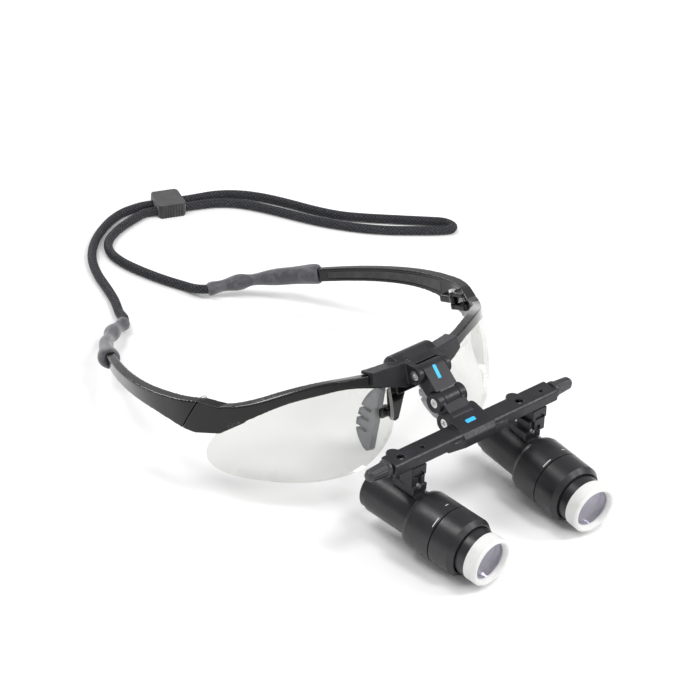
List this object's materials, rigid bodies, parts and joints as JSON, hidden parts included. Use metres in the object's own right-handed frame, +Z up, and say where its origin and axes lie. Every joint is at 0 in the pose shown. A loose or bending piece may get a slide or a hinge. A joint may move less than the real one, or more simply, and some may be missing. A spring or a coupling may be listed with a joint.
{
  "type": "dental loupes",
  "caption": "Flip-up dental loupes: prismatic telescopes on a pd bar and hinge chain, worn on wraparound safety eyewear with a neck cord.",
  "frame": {"origin": "on the table plane the loupes rest on, in the wearer's mid plane, below the bridge of the brow bar", "axes": "+X to the wearer's left, -Y forward along the telescopes, +Z up from the table"},
  "size_m": [0.2256, 0.311, 0.0566],
  "materials": {
    "eyewear_gloss_black": "glossy moulded plastic, charcoal black",
    "loupe_satin_black": "fine satin black moulding",
    "barrel_black": "satin black anodised aluminium",
    "knob_black": "matt black, ribbed",
    "screw_steel": "bright machined steel",
    "retainer_metal": "turned, bright",
    "bezel_white": "matt white",
    "safety_lens": "clear polycarbonate",
    "front_glass": "coated window, grey violet",
    "optical_glass": "polished optical glass",
    "pad_silicone": "translucent grey silicone",
    "grip_rubber": "matt rubber insert",
    "sleeve_rubber": "matt mottled rubber",
    "lock_rubber": "matt rubber",
    "cord_braid": "fine round braid"
  },
  "bodies": {
    "frame": {"frame_front": "eyewear_gloss_black", "lens_left": "safety_lens", "lens_right": "safety_lens", "nose_bridge": "eyewear_gloss_black", "nose_pad_left": "pad_silicone", "nose_pad_right": "pad_silicone", "temple_hinge_screw_left": "screw_steel", "temple_hinge_screw_right": "screw_steel", "bridge_bracket": "loupe_satin_black", "bracket_clamp": "loupe_satin_black", "clamp_screws": "screw_steel", "flip_pin_upper": "screw_steel", "neck_cord": "cord_braid"},
    "cord_lock": {"cord_lock": "lock_rubber"},
    "upper_link": {"upper_link": "loupe_satin_black"},
    "lower_link": {"lower_link": "loupe_satin_black", "flip_pin_middle": "screw_steel"},
    "cross_bar": {"cross_bar": "loupe_satin_black", "flip_pin_lower": "screw_steel"},
    "temple_left": {"temple_left": "eyewear_gloss_black", "temple_grip_left": "grip_rubber", "cord_sleeve_left": "sleeve_rubber"},
    "pd_knob_left": {"pd_knob_left": "knob_black", "pd_screw_left": "screw_steel"},
    "pd_slider_left": {"pd_slider_left": "loupe_satin_black"},
    "telescope_left": {"saddle_left": "loupe_satin_black", "saddle_screws_left": "screw_steel", "prism_housing_left": "barrel_black", "roof_prism_left": "optical_glass", "eyepiece_ring_left": "barrel_black", "eyepiece_lens_left": "optical_glass", "barrel_collar_left": "barrel_black"},
    "focus_ring_left": {"focus_ring_left": "barrel_black"},
    "objective_left": {"objective_tube_left": "barrel_black", "objective_lens_left": "optical_glass", "front_bezel_left": "bezel_white", "cover_glass_left": "front_glass", "lens_retainer_left": "retainer_metal"},
    "temple_right": {"temple_right": "eyewear_gloss_black", "temple_grip_right": "grip_rubber", "cord_sleeve_right": "sleeve_rubber"},
    "pd_knob_right": {"pd_knob_right": "knob_black", "pd_screw_right": "screw_steel"},
    "pd_slider_right": {"pd_slider_right": "loupe_satin_black"},
    "telescope_right": {"saddle_right": "loupe_satin_black", "saddle_screws_right": "screw_steel", "prism_housing_right": "barrel_black", "roof_prism_right": "optical_glass", "eyepiece_ring_right": "barrel_black", "eyepiece_lens_right": "optical_glass", "barrel_collar_right": "barrel_black"},
    "focus_ring_right": {"focus_ring_right": "barrel_black"},
    "objective_right": {"objective_tube_right": "barrel_black", "objective_lens_right": "optical_glass", "front_bezel_right": "bezel_white", "cover_glass_right": "front_glass", "lens_retainer_right": "retainer_metal"}
  },
  "joints": [
    {"name": "lock_slide", "type": "slide", "parent": "frame", "child": "cord_lock", "axis": [0.936, -0.352, 0], "range_m": [-0.003, 0.003]},
    {"name": "bracket_flip", "type": "hinge", "parent": "frame", "child": "upper_link", "pos_m": [0, -0.0146, 0.0526], "axis": [-1, 0, 0], "range_deg": [0, 90]},
    {"name": "middle_flip", "type": "hinge", "parent": "upper_link", "child": "lower_link", "pos_m": [0, -0.0248, 0.045], "axis": [-1, 0, 0], "range_deg": [-5, 30]},
    {"name": "bar_tilt", "type": "hinge", "parent": "lower_link", "child": "cross_bar", "pos_m": [0, -0.0318, 0.0399], "axis": [-1, 0, 0], "range_deg": [-8, 30]},
    {"name": "temple_fold_left", "type": "hinge", "parent": "frame", "child": "temple_left", "pos_m": [0.0654, 0.03997, 0.03392], "axis": [0, 0.314, 0.9494], "range_deg": [0, 76]},
    {"name": "pd_slide_left", "type": "slide", "parent": "cross_bar", "child": "pd_slider_left", "axis": [1, 0, 0], "range_m": [-0.008, 0.003]},
    {"name": "pd_knob_turn_left", "type": "hinge", "parent": "cross_bar", "child": "pd_knob_left", "pos_m": [0.0423, -0.0388, 0.0384], "axis": [1, 0, 0], "range_deg": [-2885, 1085]},
    {"name": "toe_in_left", "type": "hinge", "parent": "pd_slider_left", "child": "telescope_left", "pos_m": [0.033, -0.0388, 0.033], "axis": [0, 0, -1], "range_deg": [-6, 6]},
    {"name": "focus_turn_left", "type": "hinge", "parent": "telescope_left", "child": "focus_ring_left", "pos_m": [0.02812, -0.06508, 0.01264], "axis": [-0.0714, -0.9955, -0.0628], "range_deg": [-94.5, 94.5]},
    {"name": "focus_travel_left", "type": "slide", "parent": "telescope_left", "child": "objective_left", "axis": [-0.0714, -0.9955, -0.0628], "range_m": [-0.001, 0.001]},
    {"name": "temple_fold_right", "type": "hinge", "parent": "frame", "child": "temple_right", "pos_m": [-0.0654, 0.03997, 0.03392], "axis": [0, -0.314, -0.9494], "range_deg": [0, 56]},
    {"name": "pd_slide_right", "type": "slide", "parent": "cross_bar", "child": "pd_slider_right", "axis": [-1, 0, 0], "range_m": [-0.005, 0.005]},
    {"name": "pd_knob_turn_right", "type": "hinge", "parent": "cross_bar", "child": "pd_knob_right", "pos_m": [-0.0423, -0.0388, 0.0384], "axis": [-1, 0, 0], "range_deg": [-1805, 1805]},
    {"name": "toe_in_right", "type": "hinge", "parent": "pd_slider_right", "child": "telescope_right", "pos_m": [-0.0302, -0.0388, 0.033], "axis": [0, 0, 1], "range_deg": [-6, 6]},
    {"name": "focus_turn_right", "type": "hinge", "parent": "telescope_right", "child": "focus_ring_right", "pos_m": [-0.02812, -0.06508, 0.01264], "axis": [0.0714, -0.9955, -0.0628], "range_deg": [-94.5, 94.5]},
    {"name": "focus_travel_right", "type": "slide", "parent": "telescope_right", "child": "objective_right", "axis": [0.0714, -0.9955, -0.0628], "range_m": [-0.001, 0.001]}
  ],
  "couplings": [
    {"joint": "pd_knob_turn_left", "follows": "pd_slide_left", "rad_per_m": 6283.2},
    {"joint": "focus_turn_left", "follows": "focus_travel_left", "rad_per_m": 1570.8},
    {"joint": "pd_knob_turn_right", "follows": "pd_slide_right", "rad_per_m": 6283.2},
    {"joint": "focus_turn_right", "follows": "focus_travel_right", "rad_per_m": 1570.8}
  ]
}
